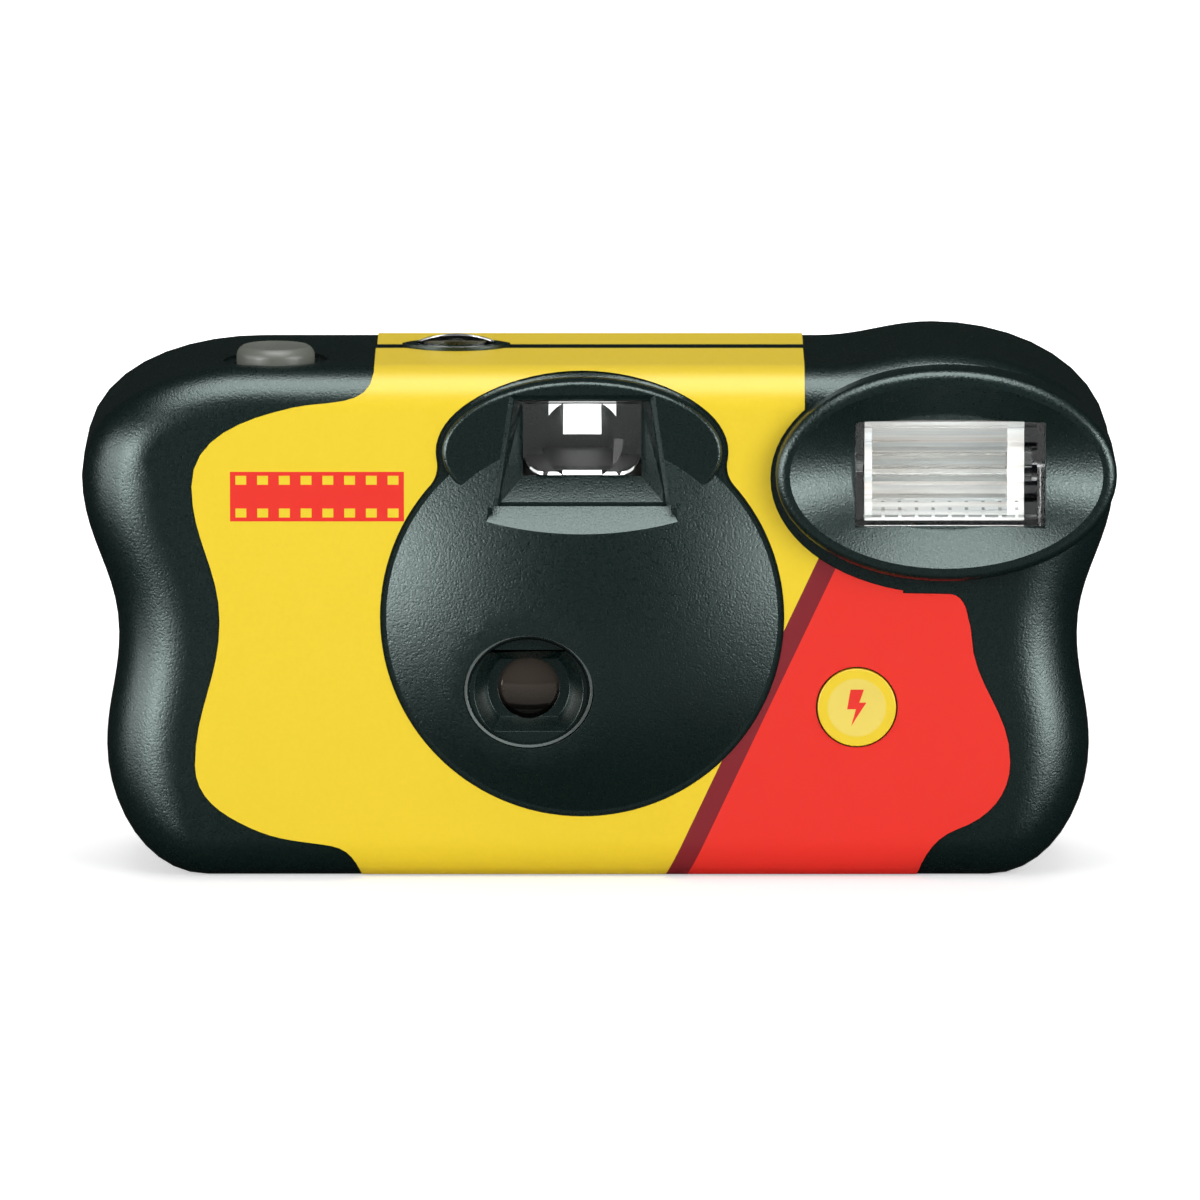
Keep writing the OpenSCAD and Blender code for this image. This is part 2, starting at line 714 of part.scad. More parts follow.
module shutter_spring() {
    color(c_steel) translate([lens_x - 12.4, blade_y - 0.4, lens_z + 17]) rotate([0, 90, 0])
        coil(0.9, 0.18, 0.7, 5);
}

module striker_lever() {
    color("#3a3d40") difference() {
        union() {
            rod_z(striker_pin[0], striker_pin[1], deck_top + 0.4, deck_top + 2.4, 2.2);
            translate([striker_pin[0], striker_pin[1], deck_top + 0.4]) linear_extrude(2) polygon([
                [-2, 0.6], [-3.3, -4.4], [-3.3, -6.4], [-1.9, -6.4], [-1.7, -4.4], [1.4, -1.6]]);
        }
        rod_z(striker_pin[0], striker_pin[1], deck_z, deck_top + 8, 1.26);
    }
}

module striker_spring() {
    color(c_steel) translate([striker_pin[0], striker_pin[1], deck_top + 2.8]) coil(1.8, 0.2, 0.6, 3);
}

module metering_lever() {
    reach = sprocket_y - cam_r - 0.4 - meter_pin[1];
    color("#3a3d40") difference() {
        union() {
            rod_z(meter_pin[0], meter_pin[1], cam_z, cam_z + 1.6, 2.2);
            translate([meter_pin[0], meter_pin[1], cam_z]) linear_extrude(1.6) polygon([
                [-1, 1], [0.8, reach], [2.2, reach], [1.4, 0.5], [0, -1.5],
                [-4.4, -2.9], [-4.4, -1.3]]);
        }
        rod_z(meter_pin[0], meter_pin[1], cam_z - 1, cam_z + 3, 1.26);
    }
}

module metering_spring() {
    color(c_steel) translate([meter_pin[0], meter_pin[1], deck_top + 0.5]) coil(1.8, 0.2, 0.9, 4);
}

module shutter_button() {
    z0 = top_in - 0.6;
    finger_x = meter_pin[0] - 5.5;
    edge = 1.3;
    color("#b9b6b0") difference() {
        union() {
            translate([button_x, button_y, 0]) rotate_extrude() polygon(concat(
                [[0, z0 - 1], [button_r, z0 - 1]],
                [for (a = [0:10:90]) [button_r - edge * (1 - cos(a)), body_h + 1.7 - edge * (1 - sin(a))]],
                [[0, body_h + 1.7]]));
            rod_z(button_x, button_y, z0 - 1.2, z0, button_r + 1.2);
            box([button_x, button_y - 1.6, z0 - 1.2], [finger_x + 1.4, button_y + 1.6, z0 - 0.2]);
            box([finger_x, button_y - 1.6, cam_z + 2 + button_travel],
                [finger_x + 1.4, button_y + 1.6, z0 - 0.2]);
        }
        translate([button_x, button_y, body_h + 1.7 + 15.4]) sphere(16, $fn = 96);
    }
}

// Film and wind

module cassette_shell() {
    z1 = cassette_z + cassette_h;
    color("#30343a") difference() {
        union() {
            rod_z(cassette_x, cassette_y, cassette_z + 0.8, z1 - 0.8, cassette_r - 0.3);
            box([cassette_x + 5.5, film_y - 1.2, cassette_z + 3.5],
                [cassette_x + mouth_x, film_y + 0.9, z1 - 3.5]);
        }
        rod_z(cassette_x, cassette_y, cassette_z, z1, cassette_r - 0.7);
        box([cassette_x + 4, film_y - 0.35, cassette_z + 3.4],
            [cassette_x + 15, film_y + 0.1, z1 - 3.4]);
    }
}

module cassette_caps() {
    z1 = cassette_z + cassette_h;
    color("#cfd2d4") {
        difference() {
            rod_z(cassette_x, cassette_y, z1 - 1.6, z1, cassette_r);
            rod_z(cassette_x, cassette_y, z1 - 2, z1 - 0.5, cassette_r - 0.25);
            rod_z(cassette_x, cassette_y, z1 - 2, z1 + 1, 5.9);
        }
        difference() {
            rod_z(cassette_x, cassette_y, cassette_z, cassette_z + 1.6, cassette_r);
            rod_z(cassette_x, cassette_y, cassette_z + 0.5, cassette_z + 3, cassette_r - 0.25);
            rod_z(cassette_x, cassette_y, cassette_z - 1, cassette_z + 1, 5.9);
        }
    }
}

module cassette_spool() {
    z1 = cassette_z + cassette_h;
    color("#d8d8d2") difference() {
        union() {
            rod_z(cassette_x, cassette_y, cassette_z + 0.1, wheel_z + 1.8, 5.4);
            rod_z(cassette_x, cassette_y, cassette_z + 2, cassette_z + 3, 9.5);
            rod_z(cassette_x, cassette_y, z1 - 3, z1 - 2, 9.5);
        }
        rod_z(cassette_x, cassette_y, z1 - 6, wheel_z + 3, 3.6);
        rod_z(cassette_x, cassette_y, cassette_z - 1, cassette_z + 8, 3.6);
    }
}

module exposed_film() {
    color("#4b3a34") difference() {
        rod_z(cassette_x, cassette_y, film_z - film_half, film_z + film_half, 8.6);
        rod_z(cassette_x, cassette_y, film_z - film_half - 1, film_z + film_half + 1, 5.5);
    }
}

module film_strip() {
    color("#5a463c") difference() {
        box([cassette_x + 8, film_y - 0.2, film_z - film_half],
            [supply_x, film_y - 0.05, film_z + film_half]);
        for (k = [0:8]) for (s = [-1, 1])
            translate([gate_x - 19 + 4.75 * k, film_y - 1, film_z + s * row_z - 1.4]) cube([2, 2, 2.8]);
    }
}

module supply_film() {
    color("#4b3a34") difference() {
        rod_z(supply_x, supply_y, film_z - film_half, film_z + film_half, 8.9);
        rod_z(supply_x, supply_y, film_z - film_half - 1, film_z + film_half + 1, 4.3);
    }
}

module supply_spool() {
    color("#2d3032") difference() {
        union() {
            rod_z(supply_x, supply_y, film_z - film_half - 1.5, film_z + film_half + 1.5, 4.25);
            rod_z(supply_x, supply_y, film_z + film_half + 0.3, film_z + film_half + 1.5, 9);
            rod_z(supply_x, supply_y, wall + 0.2, deck_top, 2);
        }
        rod_z(supply_x, supply_y, wall, film_z - 8, 1.2);
    }
}

module thumb_wheel() {
    color("#1d2021") difference() {
        union() {
            rod_z(cassette_x, cassette_y, wheel_z, wheel_z + wheel_h, wheel_r);
            rod_z(cassette_x, cassette_y, deck_z + 0.1, wheel_z + 1, 6.5);
        }
        rod_z(cassette_x, cassette_y, deck_z - 1, wheel_z + 2, 5.45);
        // Shallow pan over the web
        difference() {
            rod_z(cassette_x, cassette_y, wheel_z + 2.6, wheel_z + 5, wheel_r - 3);
            rod_z(cassette_x, cassette_y, wheel_z + 2, wheel_z + 6, 4);
        }
        for (a = [0:10:350])
            translate([cassette_x + (wheel_r + 0.35) * cos(a), cassette_y + (wheel_r + 0.35) * sin(a),
                wheel_z - 1]) cylinder(h = wheel_h + 2, r = 0.9, $fn = 16);
    }
}

// Pawl on the deck, its arm sprung against the notches of the wheel
module ratchet_pawl() {
    color("#3c4043") translate([cassette_x, cassette_y, deck_top]) mirror([1, 0, 0]) {
        translate([14, -10.4, 0]) cube([1.6, 2.4, 3.4]);
        translate([0, 0, 1]) linear_extrude(2.4)
            polygon([[15.6, -8], [16.2, -3], [16.9, -3], [16.3, -9], [15, -9]]);
    }
}

module film_sprocket() {
    color("#e6e2d6") difference() {
        union() {
            rod_z(sprocket_x, sprocket_y, sprocket_z - 1.2, counter_z + 1.2, 1.5);
            rod_z(sprocket_x, sprocket_y, sprocket_z - 1.2, sprocket_z + 1.2, sprocket_r);
            for (a = [22.5:45:360]) translate([sprocket_x, sprocket_y, sprocket_z - 0.8])
                rotate([0, 0, a]) linear_extrude(1.6) polygon([
                    [5, -0.9], [tooth_tip - 0.1, -0.45], [tooth_tip - 0.1, 0.45], [5, 0.9]]);
            rod_z(sprocket_x, sprocket_y, cam_z, cam_z + 1.6, cam_r);
            translate([sprocket_x, sprocket_y, counter_z]) rotate([0, 0, 20]) linear_extrude(1.2)
                polygon([[0, -1], [driver_r, -0.5], [driver_r, 0.5], [0, 1]]);
        }
        translate([sprocket_x, sprocket_y, cam_z - 1]) rotate([0, 0, -140])
            translate([3.2, -0.9, 0]) cube([3, 1.8, 4]);
    }
}

module counter_wheel() {
    color("#e9e7df") difference() {
        union() {
            rod_z(window_x, counter_y, counter_z, counter_z + 1.2, counter_r);
            rod_z(window_x, counter_y, counter_z - 2.4, counter_z + 0.4, 2.4);
        }
        rod_z(window_x, counter_y, counter_z - 4, counter_z + 3, 1.26);
        for (a = [0:12:348]) translate([window_x, counter_y, counter_z - 1]) rotate([0, 0, a])
            linear_extrude(3) polygon([
                [counter_r - 0.8, 0], [counter_r + 0.3, -0.5], [counter_r + 0.3, 0.5]]);
    }
}

// Flash

module flash_window() {
    w = flash_w / 2;
    h = flash_h / 2;
    color(c_clear) difference() {
        union() {
            box([flash_x - w, y_f - 0.4, flash_z - h], [flash_x + w, y_f + 2.9, flash_z + h]);
            // Flange with its corners drawn in
            intersection() {
                box([flash_x - w - 1.2, y_f + 2.3, flash_z - h - 1.2],
                    [flash_x + w + 1.2, y_f + 2.9, flash_z + h + 1.2]);
                along_y(y_f + 2, y_f + 3) polygon(oval(flash_x, flash_z, w + 3.2, h + 2.2));
            }
        }
        difference() {
            box([flash_x - w + 0.9, y_f + 0.7, flash_z - h + 0.9],
                [flash_x + w - 0.9, y_f + 4, flash_z + h - 0.9]);
            for (k = [-4:4]) translate([flash_x + 2 * k - 0.2, y_f, flash_z - h]) cube([0.4, 3.2, 1.8]);
        }
        for (z = [-3, -1, 0.5, 3.2]) along_x(flash_x - w + 0.9, flash_x + w - 0.9) polygon([
            [y_f + 0.75, flash_z + z - 0.6], [y_f + 0.45, flash_z + z], [y_f + 0.75, flash_z + z + 0.6]]);
    }
}

function bowl(h, deep, n) = [for (k = [-n:n]) let (z = h * k / n) [deep * (1 - (k / n) ^ 2), z]];

module flash_reflector() {
    h = flash_h / 2 - 0.8;
    w = flash_w / 2 - 2.8;
    y0 = y_f + 3.1;
    color("#dfe2e4") difference() {
        union() {
            translate([0, y0, flash_z]) along_x(reflector_x - w, reflector_x + w) difference() {
                polygon(bowl(h + 0.5, 8.4, 8));
                translate([-0.1, 0]) polygon(bowl(h, 7.9, 8));
            }
            for (s = [-1, 1]) translate([s * (w - 0.2), y0, flash_z])
                along_x(reflector_x - 0.2, reflector_x + 0.2) polygon(bowl(h + 0.3, 8.2, 8));
            // Frame round the mouth, broad on one side
            difference() {
                box([reflector_x - w - 0.5, y0, flash_z - h - 0.5], [reflector_x + w + 1.6, y0 + 0.4, flash_z + h + 0.5]);
                box([reflector_x - w, y0 - 1, flash_z - h], [reflector_x + w, y0 + 1, flash_z + h]);
            }
        }
        rod_x(reflector_x - w - 1, reflector_x + w + 1, y0 + 4.6, flash_z, 1.75);
    }
}

module flash_tube() {
    w = flash_w / 2 - 0.2;
    color(c_clear) difference() {
        rod_x(reflector_x - w, reflector_x + w, y_f + 7.7, flash_z, 1.5);
        rod_x(reflector_x - w + 1.2, reflector_x + w - 1.2, y_f + 7.7, flash_z, 1.05);
    }
}

module tube_electrodes() {
    w = flash_w / 2 - 0.2;
    color(c_steel) for (s = [-1, 1]) {
        rod_x(reflector_x + s * (w + 0.75) - 0.75, reflector_x + s * (w + 0.75) + 0.75, y_f + 7.7, flash_z, 0.45);
        rod_z(reflector_x + s * (w + 1.1), y_f + 7.7, flash_z - 7.6, flash_z, 0.4);
    }
}

module circuit_board() {
    color("#3b6b3f") difference() {
        box([board_x0, board_y, 5], [board_x1, board_y + 1.2, bezel_z - bezel_b - 0.6]);
        rod_y(board_x0 + 3, 9, board_y - 1, board_y + 2, 1.1);
        rod_y(board_x1 - 3, 33, board_y - 1, board_y + 2, 1.1);
    }
}

module board_components() {
    x = board_x0;
    color("#8a5a2b") {
        for (k = [0:2]) rod_x(x + 2, x + 8, board_y - 1, 14 + 4 * k, 0.95);
        rod_y(x + 5, 25.8, board_y - 4, board_y, 2.2);
        box([x + 10, board_y - 2.4, 6.2], [x + 15, board_y, 9.4]);
        rod_y(x + 19.5, 9, board_y - 4.4, board_y, 2);
    }
}

module transformer() {
    x = board_x0 + 4.4;
    color("#6d5a36") union() {
        box([x, board_y - 5.2, 29.4], [x + 10.6, board_y, 35.8]);
        box([x + 2, board_y - 5.6, 28.6], [x + 8.6, board_y - 0.4, 36]);
    }
}

module trigger_coil() {
    color("#a33b2e") rod_x(board_x0 + 15.6, board_x0 + 23, board_y - 2.6, 32.4, 2.5);
}

module capacitor() {
    color("#23262b") union() {
        rod_z(capacitor_x, capacitor_y, 8.4, 34, capacitor_r);
        rod_z(capacitor_x, capacitor_y, 7.9, 8.6, capacitor_r - 0.7);
        // A lead at each end, bent over to the board
        for (z = [7, 35]) {
            rod_z(capacitor_x - 2, board_y - 0.5, min(z, 33.8) - 0.4, max(z, 8.2) + 0.4, 0.4);
            rod_x(board_x1 - 2, capacitor_x - 2, board_y - 0.5, z, 0.4);
        }
    }
}

module battery() {
    color("#4a4f56") union() {
        rod_z(battery_x, battery_y, battery_z, battery_z + battery_h, battery_r);
        rod_z(battery_x, battery_y, battery_z + battery_h - 0.2, battery_z + battery_h + 1.2, 2.7);
    }
}

module battery_contact_top() {
    z = battery_z + battery_h + 1.25;
    color(c_brass) union() {
        box([battery_x - 10, battery_y - 3, z], [battery_x + 3, battery_y + 3, z + 0.4]);
        box([battery_x - 10, battery_y - 3, z - 14], [battery_x - 9.6, battery_y + 3, z + 0.4]);
    }
}

module battery_contact_base() {
    z = battery_z - 0.45;
    color(c_brass) union() {
        box([battery_x - 10, battery_y - 3, z], [battery_x + 3, battery_y + 3, z + 0.4]);
        box([battery_x - 10, battery_y - 3, wall], [battery_x - 9.6, battery_y + 3, z + 14]);
    }
}

module flash_switch_leaf() {
    y = y_f + 4.5;
    color(c_brass) union() {
        box([flash_button_x - 5, y, flash_button_z - 1.5], [flash_button_x + 3, y + 0.3, flash_button_z + 1.5]);
        box([flash_button_x - 5, y, flash_button_z - 1.5], [flash_button_x - 4.7, board_y, flash_button_z + 1.5]);
    }
}

module sync_contact() {
    color(c_brass) union() {
        box([lens_x + 9.4, plate_y - 0.3, lens_z + 8], [board_x0 + 2, plate_y, lens_z + 10]);
        box([board_x0 + 1.7, plate_y - 0.3, lens_z + 8], [board_x0 + 2, board_y, lens_z + 10]);
    }
}

module flash_button() {
    dish_r = flash_button_r - 1.2;
    dish_h = 0.35;
    ball = (dish_r * dish_r + dish_h * dish_h) / (2 * dish_h);
    color(c_yellow) difference() {
        union() {
            rod_y(flash_button_x, flash_button_z, y_f - 0.6, y_in_f + 0.4, flash_button_r);
            rod_y(flash_button_x, flash_button_z, y_in_f + 0.1, y_in_f + 0.9, flash_button_r + 0.9);
            rod_y(flash_button_x, flash_button_z, y_in_f + 0.8, y_in_f + 1.9, 1.5);
        }
        translate([flash_button_x, y_f - 0.6 + dish_h - ball, flash_button_z]) sphere(ball, $fn = 128);
    }
}

module ready_lamp() {
    color("#c96a2c") union() {
        rod_y(finder_x + 11, opening_z, y_b - 13, y_b - 6.2, 2);
        rod_y(finder_x + 11, opening_z, y_b - 14, y_b - 13, 1.2);
    }
}

module ready_light_pipe() {
    color("#d98b3a") union() {
        rod_y(finder_x + 11, opening_z, y_b - 5.9, y_b + 0.3, 1.6);
        rod_y(finder_x + 11, opening_z, y_in_b - 1, y_in_b - gap, 2.4);
    }
}

front_cover();
rear_cover();
front_label();
rear_label();
counter_window();
finder_front_lens();
finder_eyepiece();
main_frame();
lens_hood();
taking_lens();
shutter_blade();
shutter_spring();
striker_lever();
striker_spring();
metering_lever();
metering_spring();
shutter_button();
cassette_shell();
cassette_caps();
cassette_spool();
exposed_film();
film_strip();
supply_film();
supply_spool();
thumb_wheel();
ratchet_pawl();
film_sprocket();
counter_wheel();
flash_window();
flash_reflector();
flash_tube();
tube_electrodes();
circuit_board();
board_components();
transformer();
trigger_coil();
capacitor();
battery();
battery_contact_top();
battery_contact_base();
flash_switch_leaf();
sync_contact();
flash_button();
ready_lamp();
ready_light_pipe();
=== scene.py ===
"""Single-use film camera with a flash: finishes, printed labels, light and view."""

import json
import math

import bpy
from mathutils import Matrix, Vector

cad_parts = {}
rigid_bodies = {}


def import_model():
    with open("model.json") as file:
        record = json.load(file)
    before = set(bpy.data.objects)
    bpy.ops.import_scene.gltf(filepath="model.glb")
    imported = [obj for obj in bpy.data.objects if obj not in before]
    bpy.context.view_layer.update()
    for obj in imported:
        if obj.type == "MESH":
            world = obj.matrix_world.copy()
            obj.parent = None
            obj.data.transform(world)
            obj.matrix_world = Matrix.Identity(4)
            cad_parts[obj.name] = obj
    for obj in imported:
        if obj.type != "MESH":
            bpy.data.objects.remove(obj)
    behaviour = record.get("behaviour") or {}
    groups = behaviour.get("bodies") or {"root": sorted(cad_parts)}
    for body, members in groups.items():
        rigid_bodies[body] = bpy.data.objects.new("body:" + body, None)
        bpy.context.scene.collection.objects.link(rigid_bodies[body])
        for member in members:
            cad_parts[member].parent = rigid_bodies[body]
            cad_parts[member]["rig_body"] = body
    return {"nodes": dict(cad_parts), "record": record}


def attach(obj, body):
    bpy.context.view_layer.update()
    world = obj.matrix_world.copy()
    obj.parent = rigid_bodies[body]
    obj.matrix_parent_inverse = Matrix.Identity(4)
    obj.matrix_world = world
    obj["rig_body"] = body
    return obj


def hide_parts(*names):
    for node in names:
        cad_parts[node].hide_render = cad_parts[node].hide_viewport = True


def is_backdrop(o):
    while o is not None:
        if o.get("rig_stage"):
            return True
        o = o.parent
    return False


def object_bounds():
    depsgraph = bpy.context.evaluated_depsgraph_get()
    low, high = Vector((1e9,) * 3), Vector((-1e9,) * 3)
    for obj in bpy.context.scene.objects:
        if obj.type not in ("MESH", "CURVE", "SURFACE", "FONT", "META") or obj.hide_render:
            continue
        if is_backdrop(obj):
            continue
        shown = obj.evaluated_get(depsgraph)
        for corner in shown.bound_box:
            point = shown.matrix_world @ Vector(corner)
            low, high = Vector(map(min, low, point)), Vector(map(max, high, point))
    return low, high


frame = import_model()
cad_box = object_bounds()

MM = 0.001

# Photograph: frame of 1200 pixels, seen from a little above the front
FRAME_PIXELS = 1200
PIXELS_PER_MM = 8.355
VIEW_LIFT = math.radians(9)
VIEW_DISTANCE = 2.0
VIEW_REACH = 50
VIEW_AIM = (0.24 * MM, -17.5 * MM, 34.06 * MM)
SENSOR = 36.0

# Places that the prints, finishes and painted light are centred on, in the CAD frame
LENS_CENTRE = (-8.3 * MM, 0, 23.4 * MM)
# Heights about the lens centre over which its painted warm reflection fades in
LENS_REFLECTION_LOW = -2.4 * MM
LENS_REFLECTION_HIGH = 1.0 * MM
HOOD_HALF_WIDTH = 7.7 * MM
HOOD_HALF_HEIGHT = 6.9 * MM
HOOD_FACE = -19.6 * MM
HOOD_RIM_START = 0.955
HOOD_RIM_DEPTH = 0.15 * MM
KEY_CENTRE = (31.0 * MM, 0, 21.1 * MM)
KEY_DISH_RADIUS = 3.5 * MM
KEY_DISH_BLEND = 0.1 * MM
COUNTER_CENTRE = (-17.1 * MM, -3.7 * MM, 0)
COUNTER_RADIUS = 7.6 * MM
COUNTER_MARKS = 30
FILM_MOTIF_CENTRE = (-33.6 * MM, 0, 46.6 * MM)
FILM_MOTIF_SIZE = (20.8 * MM, 6.0 * MM)
FILM_MOTIF_HOLES = 8

# Holes of the film motif, as shares of their spacing and of the strip's height
HOLE_GAP = 0.25
HOLE_ROW = 0.33
HOLE_HALF_HEIGHT = 0.09

# Marks of the frame counter: half widths in radians, inner ends as shares of the dial's radius
SHORT_MARK = (0.02, 0.72)
LONG_MARK = (0.035, 0.55)
MARKS_FOR_EACH_LONG_ONE = 5

# Outline of the bolt on the flash button, in millimetres from its centre
BOLT_OUTLINE = (
    (-0.75, 2.15),
    (0.85, 2.15),
    (0.30, 0.55),
    (1.15, 0.55),
    (-0.65, -2.25),
    (-0.10, -0.25),
    (-1.15, -0.25),
)
BOLT_CUTS = 7
INK_THICKNESS = 0.03 * MM

# Edges that stay sharp in the smooth shading, in degrees, and the rounding of soft edges
CREASE = 18
COIL_CREASE = 45
SOFT_EDGE = 0.12 * MM
SOFT_EDGE_STEPS = 2
COILS = ("shutter_spring", "striker_spring", "metering_spring")
SOFT_EDGED = ("lens_hood", "thumb_wheel", "flash_button")

# Noise of grain, paper and drawn metal, the grain's effect on roughness, and the stretch of streaks
FINE_DETAIL = 3.0
GRAIN_ROUGHNESS = 0.06
STREAK_STRETCH = (0.06, 1.0, 1.0)

# Merging of the CAD nodes' loose triangles
MERGE_REACH = 0.004 * MM
SLIVER_REACH = 0.01 * MM
FLAT_ANGLE = math.radians(0.4)

# Floor, whose glow rises to plain white between two distances from the middle
FLOOR_SIZE = 8
FLOOR_DROP = 0.02 * MM
FLOOR_NEAR_GLOW = 0.5
FLOOR_NEAR = 0.1
FLOOR_FAR = 0.5

# Brightness of the surroundings to matt and to glossy faces
SURROUND_MATT = 0.28
SURROUND_GLOSS = 0.012

# Colours, linear
BLACK_PLASTIC = (0.0025, 0.0105, 0.0095, 1)
BLACK_SHEEN = (0.82, 1.0, 0.96, 1)
YELLOW = (0.875, 0.640, 0.022, 1)
RED = (0.850, 0.028, 0.016, 1)
DARK_RED = (0.235, 0.015, 0.022, 1)
# Painted sheen in the flash button's dish
DISH_SHEEN_YELLOW = (0.875, 0.700, 0.125, 1)
WARM_METAL = (0.72, 0.66, 0.61, 1)
COOL_METAL = (0.63, 0.67, 0.68, 1)
BRIGHT_METAL = (0.91, 0.91, 0.89, 1)
# Painted highlight on the lens hood's rim
RIM_PAINTED_HIGHLIGHT = (0.16, 0.19, 0.185, 1)
LENS_DARK = (0.003, 0.003, 0.0028, 1)
# Painted warm reflection in the taking lens's upper half
LENS_PAINTED_REFLECTION = (0.058, 0.048, 0.039, 1)
LENS_COATING = (1.0, 0.88, 0.78, 1)
CLEAR_TINT = (0.97, 0.985, 0.98, 1)
FINDER_CLEAR = (0.95, 0.96, 0.955, 1)
DIAL_SHADE = (0.70, 0.69, 0.64, 1)
DIAL_WHITE = (0.76, 0.75, 0.70, 1)
BLADE_BLACK = (0.006, 0.006, 0.0055, 1)
FROST_DARK = (0.17, 0.185, 0.155, 1)
FROST_PALE = (0.24, 0.255, 0.22, 1)
WHITE = (1, 1, 1, 1)
FLOOR_GREY = (0.8, 0.8, 0.8, 1)

# Slanted stripe between yellow and red: how far across for each step up, and where its edges meet the base
LABEL_SLANT = 0.47
STRIPE_START = 8.0 * MM
STRIPE_END = 10.6 * MM

# Parting plane of the covers, and how far a painted dark band, standing for the shaded step at the seam,
# reaches on the labels on each side of it
PARTING = 2.5 * MM
SEAM_PAINTED_SHADE = 1.6 * MM


def select_only(piece):
    """Selects one piece and makes it the active one."""
    bpy.ops.object.select_all(action="DESELECT")
    piece.select_set(True)
    bpy.context.view_layer.objects.active = piece


def start_material(name):
    """A material, its node tree, its shader and the piece's own coordinates."""
    material = bpy.data.materials.new(name)
    material.use_nodes = True
    tree = material.node_tree
    place = tree.nodes.new("ShaderNodeTexCoord").outputs["Object"]
    return material, tree, tree.nodes["Principled BSDF"], place


def set_shader(shader, **values):
    """Sets the shader's own values, with underscores for the spaces in their names."""
    for name, value in values.items():
        shader.inputs[name.replace("_", " ")].default_value = value


def maths(tree, operation, first, second=0.0, third=0.0):
    """A Math node on numbers or sockets."""
    node = tree.nodes.new("ShaderNodeMath")
    node.operation = operation
    for socket, value in zip(node.inputs, (first, second, third)):
        if isinstance(value, bpy.types.NodeSocket):
            tree.links.new(value, socket)
        else:
            socket.default_value = value
    return node.outputs["Value"]


def axes_from(tree, place, centre):
    """X, Y and Z from a centre."""
    shift = tree.nodes.new("ShaderNodeVectorMath")
    shift.operation = "SUBTRACT"
    tree.links.new(place, shift.inputs[0])
    shift.inputs[1].default_value = centre
    axes = tree.nodes.new("ShaderNodeSeparateXYZ")
    tree.links.new(shift.outputs["Vector"], axes.inputs["Vector"])
    return axes.outputs["X"], axes.outputs["Y"], axes.outputs["Z"]


def radius_of(tree, first, second):
    """Distance from the centre in the plane of two axes."""
    squares = maths(tree, "MULTIPLY_ADD", first, first, maths(tree, "MULTIPLY", second, second))
    return maths(tree, "SQRT", squares)


def within(tree, value, reach):
    """1 where the value lies closer to 0 than reach."""
    return maths(tree, "LESS_THAN", maths(tree, "ABSOLUTE", value), reach)


def both(tree, first, second):
    """1 where both are 1."""
    return maths(tree, "MULTIPLY", first, second)


def noise(tree, place, size, detail=2.0):
    """Noise with blotches about size metres across."""
    node = tree.nodes.new("ShaderNodeTexNoise")
    node.inputs["Scale"].default_value = 1 / size
    node.inputs["Detail"].default_value = detail
    tree.links.new(place, node.inputs["Vector"])
    return node.outputs["Fac"]


def spread(tree, value, low, high, start=0.3, end=0.7):
    """Maps a value from start..end to low..high."""
    node = tree.nodes.new("ShaderNodeMapRange")
    node.inputs["From Min"].default_value = start
    node.inputs["From Max"].default_value = end
    node.inputs["To Min"].default_value = low
    node.inputs["To Max"].default_value = high
    tree.links.new(value, node.inputs["Value"])
    return node.outputs["Result"]


def blend_colours(tree, share, first, second):
    """first where share is 0, second where it is 1; either may be a socket or a colour."""
    node = tree.nodes.new("ShaderNodeMix")
    node.data_type = "RGBA"
    tree.links.new(share, node.inputs["Factor"])
    for name, colour in (("A", first), ("B", second)):
        socket = next(s for s in node.inputs if s.name == name and s.type == "RGBA")
        if isinstance(colour, bpy.types.NodeSocket):
            tree.links.new(colour, socket)
        else:
            socket.default_value = colour
    return next(s for s in node.outputs if s.type == "RGBA")


def add_bump(tree, shader, height, depth):
    """Fine relief of a finish, depth metres deep."""
    node = tree.nodes.new("ShaderNodeBump")
    node.inputs["Distance"].default_value = depth
    node.inputs["Strength"].default_value = 1.0
    tree.links.new(height, node.inputs["Height"])
    tree.links.new(node.outputs["Normal"], shader.inputs["Normal"])


def shade(colour, factor):
    """The colour, lighter or darker by a factor."""
    return tuple(c * factor for c in colour[:3]) + (1,)


def uneven(tree, pattern, colour, low, high):
    """The colour, from low to high times as bright with a pattern."""
    return blend_colours(tree, pattern, shade(colour, low), shade(colour, high))


def set_colour(tree, shader, colours):
    tree.links.new(colours, shader.inputs["Base Color"])


def set_roughness(tree, shader, pattern, low, high):
    """Roughness that goes from low to high with a pattern."""
    tree.links.new(spread(tree, pattern, low, high), shader.inputs["Roughness"])


def moulded_plastic(name, colour, roughness, grain=0.3 * MM, depth=0.02 * MM, sheen=WHITE, gloss=0.5):
    """Moulded plastic with spark-eroded grain and slight unevenness."""
    material, tree, shader, place = start_material(name)
    set_shader(shader, Specular_Tint=sheen, Specular_IOR_Level=gloss)
    cloud = noise(tree, place, 12 * MM)
    set_colour(tree, shader, uneven(tree, cloud, colour, 0.85, 1.15))
    fine = noise(tree, place, grain, FINE_DETAIL)
    set_roughness(tree, shader, fine, roughness - GRAIN_ROUGHNESS, roughness + GRAIN_ROUGHNESS)
    add_bump(tree, shader, fine, depth)
    return material


def metal(name, colour, roughness):
    """Sheet metal or wire with fine scratches."""
    material, tree, shader, place = start_material(name)
    set_shader(shader, Metallic=1.0)
    cloud = noise(tree, place, 6 * MM)
    set_colour(tree, shader, uneven(tree, cloud, colour, 0.9, 1.05))
    fine = noise(tree, place, 0.4 * MM)
    set_roughness(tree, shader, fine, roughness * 0.7, roughness * 1.3)
    add_bump(tree, shader, fine, 0.004 * MM)
    return material


